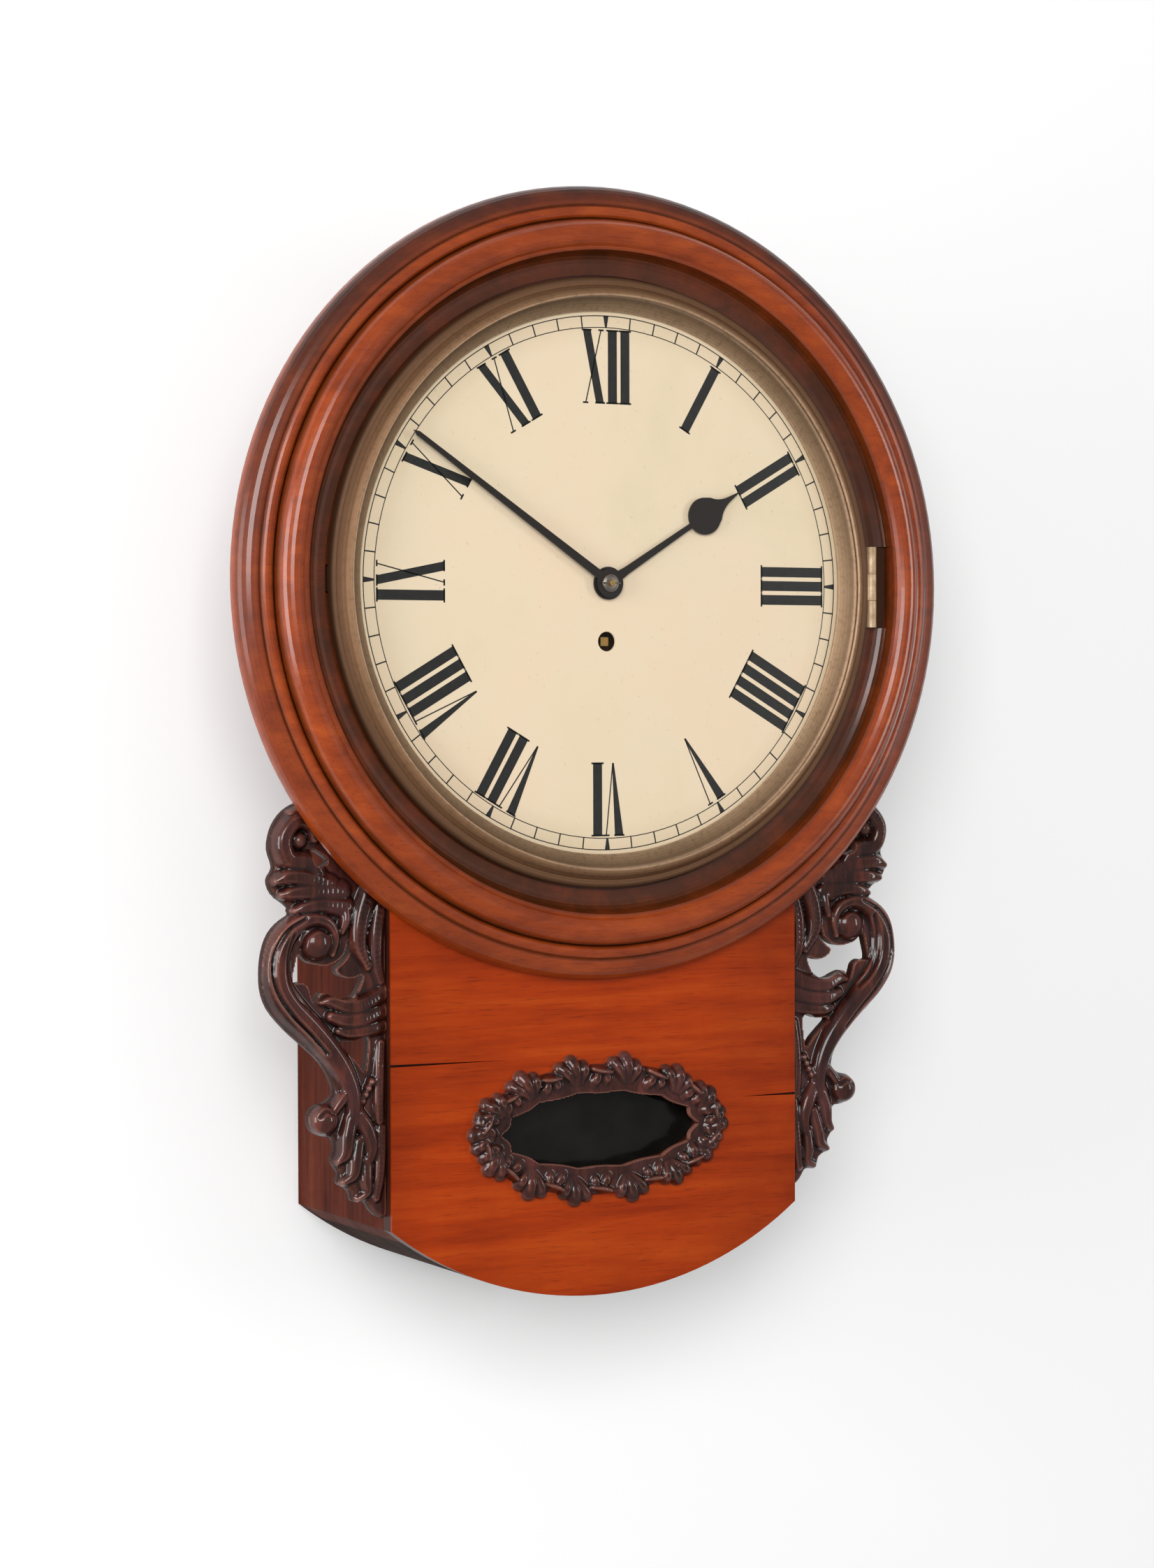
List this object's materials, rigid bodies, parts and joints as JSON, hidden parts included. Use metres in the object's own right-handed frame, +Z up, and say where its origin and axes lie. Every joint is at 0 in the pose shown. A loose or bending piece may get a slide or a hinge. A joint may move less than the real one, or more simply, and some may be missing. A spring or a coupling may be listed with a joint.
{
  "type": "drop dial wall clock",
  "caption": "Round wall clock with a turned wooden surround, hinged brass bezel, trunk with carved brackets and window, and a fusee pendulum movement.",
  "frame": {"origin": "on the wall plane, straight behind the centre of the dial", "axes": "+Y into the wall, square to the dial; +Z up; +X to the right of a person facing the dial"},
  "size_m": [0.3999, 0.139, 0.564],
  "materials": {
    "mahogany": "French polished, worn",
    "pine": "bare, aged",
    "carved_wood": "dark stained, waxed",
    "window_glass": "old, dusty",
    "clear_glass": "polished",
    "case_brass": "aged",
    "bezel_brass": "dull, aged",
    "sight_brass": "aged, satin",
    "dial_paint": "aged cream paint",
    "blued_steel": "blued, satin",
    "screw_steel": "aged",
    "clock_brass": "satin",
    "clock_steel": "polished",
    "bob_brass": "aged"
  },
  "bodies": {
    "case": {"back_board": "pine", "side_left": "mahogany", "side_right": "mahogany", "top_board": "mahogany", "bottom_board": "mahogany", "front_panel": "mahogany", "window_wreath": "carved_wood", "window_glass": "window_glass", "bracket_left": "carved_wood", "bracket_right": "carved_wood", "dial_surround": "mahogany", "surround_cheeks": "pine", "case_pegs": "pine", "hanging_plate": "case_brass", "plate_screws": "screw_steel", "door_hinges": "case_brass", "bezel_hinge": "bezel_brass", "dial_plate": "dial_paint", "dial_screws": "screw_steel", "dial_feet": "clock_brass", "front_plate": "clock_brass", "back_plate": "clock_brass", "pillars": "clock_brass", "barrel_arbor": "clock_steel", "mainspring": "clock_steel", "setup_work": "clock_steel", "fusee_chain": "clock_steel", "stop_iron": "clock_steel", "back_cock": "clock_brass", "motion_bridge": "clock_brass"},
    "side_door": {"side_door": "mahogany", "side_door_leaves": "case_brass"},
    "side_button": {"side_door_button": "case_brass"},
    "bottom_door": {"bottom_door": "mahogany", "bottom_door_leaf": "case_brass"},
    "bottom_button": {"bottom_door_button": "case_brass"},
    "bezel": {"bezel_ring": "bezel_brass", "sight_ring": "sight_brass", "bezel_glass": "clear_glass", "bezel_knuckle": "bezel_brass", "bezel_catch": "bezel_brass"},
    "minute_hand": {"cannon_pinion": "clock_brass", "minute_hand": "blued_steel"},
    "minute_wheel": {"minute_wheel": "clock_brass"},
    "hour_hand": {"hour_wheel": "clock_brass", "hour_hand": "blued_steel"},
    "centre_wheel": {"centre_wheel": "clock_brass", "hand_collet": "screw_steel"},
    "third_wheel": {"third_wheel": "clock_brass"},
    "escape_wheel": {"escape_wheel": "clock_brass"},
    "great_wheel": {"great_wheel": "clock_brass"},
    "fusee": {"fusee": "clock_brass"},
    "barrel": {"barrel": "clock_brass", "barrel_chain": "clock_steel"},
    "pallets": {"pallets": "clock_steel", "crutch": "clock_steel"},
    "pendulum": {"suspension_spring": "clock_steel", "pendulum_rod": "clock_steel", "pendulum_bob": "bob_brass"},
    "rating_nut": {"rating_nut": "clock_brass"}
  },
  "joints": [
    {"name": "bezel_swing", "type": "hinge", "parent": "case", "child": "bezel", "pos_m": [0.1555, -0.1295, 0], "axis": [0, 0, 1], "range_deg": [0, 100]},
    {"name": "side_door_swing", "type": "hinge", "parent": "case", "child": "side_door", "pos_m": [0.1179, -0.0206, 0], "axis": [0, 0, 1], "range_deg": [0, 90]},
    {"name": "side_button_turn", "type": "hinge", "parent": "case", "child": "side_button", "pos_m": [0.116, -0.093, 0], "axis": [1, 0, 0], "range_deg": [0, 90]},
    {"name": "bottom_door_swing", "type": "hinge", "parent": "case", "child": "bottom_door", "pos_m": [0.048, -0.06, -0.35679], "axis": [0, -1, 0], "range_deg": [0, 95]},
    {"name": "bottom_button_turn", "type": "hinge", "parent": "case", "child": "bottom_button", "pos_m": [-0.02, -0.02, -0.35993], "axis": [-0.1063, 0, -0.9943], "range_deg": [0, 90]},
    {"name": "hand_setting", "type": "hinge", "parent": "case", "child": "minute_hand", "pos_m": [0, -0.12, 0], "axis": [0, 1, 0], "continuous": true},
    {"name": "minute_wheel_turn", "type": "hinge", "parent": "case", "child": "minute_wheel", "pos_m": [-0.01819, -0.112, 0.0105], "axis": [0, 1, 0], "continuous": true},
    {"name": "hour_turn", "type": "hinge", "parent": "case", "child": "hour_hand", "pos_m": [0, -0.12, 0], "axis": [0, 1, 0], "continuous": true},
    {"name": "train_turn", "type": "hinge", "parent": "case", "child": "centre_wheel", "pos_m": [0, -0.09, 0], "axis": [0, 1, 0], "continuous": true},
    {"name": "third_wheel_turn", "type": "hinge", "parent": "case", "child": "third_wheel", "pos_m": [0.01113, -0.09, 0.01897], "axis": [0, 1, 0], "continuous": true},
    {"name": "escape_wheel_turn", "type": "hinge", "parent": "case", "child": "escape_wheel", "pos_m": [0, -0.09, 0.0348], "axis": [0, 1, 0], "continuous": true},
    {"name": "great_wheel_turn", "type": "hinge", "parent": "case", "child": "great_wheel", "pos_m": [0, -0.07, -0.0293], "axis": [0, 1, 0], "continuous": true},
    {"name": "winding", "type": "hinge", "parent": "great_wheel", "child": "fusee", "pos_m": [0, -0.09, -0.0293], "axis": [0, 1, 0], "continuous": true},
    {"name": "barrel_turn", "type": "hinge", "parent": "case", "child": "barrel", "pos_m": [-0.052, -0.09, -0.048], "axis": [0, 1, 0], "continuous": true},
    {"name": "pendulum_swing", "type": "hinge", "parent": "case", "child": "pendulum", "pos_m": [0, -0.04, 0.055], "axis": [0, 1, 0], "range_deg": [-3.5, 3.5]},
    {"name": "pallet_rock", "type": "hinge", "parent": "case", "child": "pallets", "pos_m": [0, -0.08, 0.055], "axis": [0, 1, 0], "range_deg": [-3.5, 3.5]},
    {"name": "rating_nut_turn", "type": "hinge", "parent": "pendulum", "child": "rating_nut", "pos_m": [0, -0.04, -0.315], "axis": [0, 0, 1], "continuous": true}
  ],
  "couplings": [
    {"joint": "minute_wheel_turn", "follows": "hand_setting", "ratio": -0.5},
    {"joint": "hour_turn", "follows": "hand_setting", "ratio": 0.083333},
    {"joint": "third_wheel_turn", "follows": "train_turn", "ratio": -10},
    {"joint": "escape_wheel_turn", "follows": "train_turn", "ratio": 97.5},
    {"joint": "great_wheel_turn", "follows": "train_turn", "ratio": -0.083333},
    {"joint": "barrel_turn", "follows": "winding", "ratio": 0.5},
    {"joint": "pallet_rock", "follows": "pendulum_swing", "ratio": 1}
  ]
}
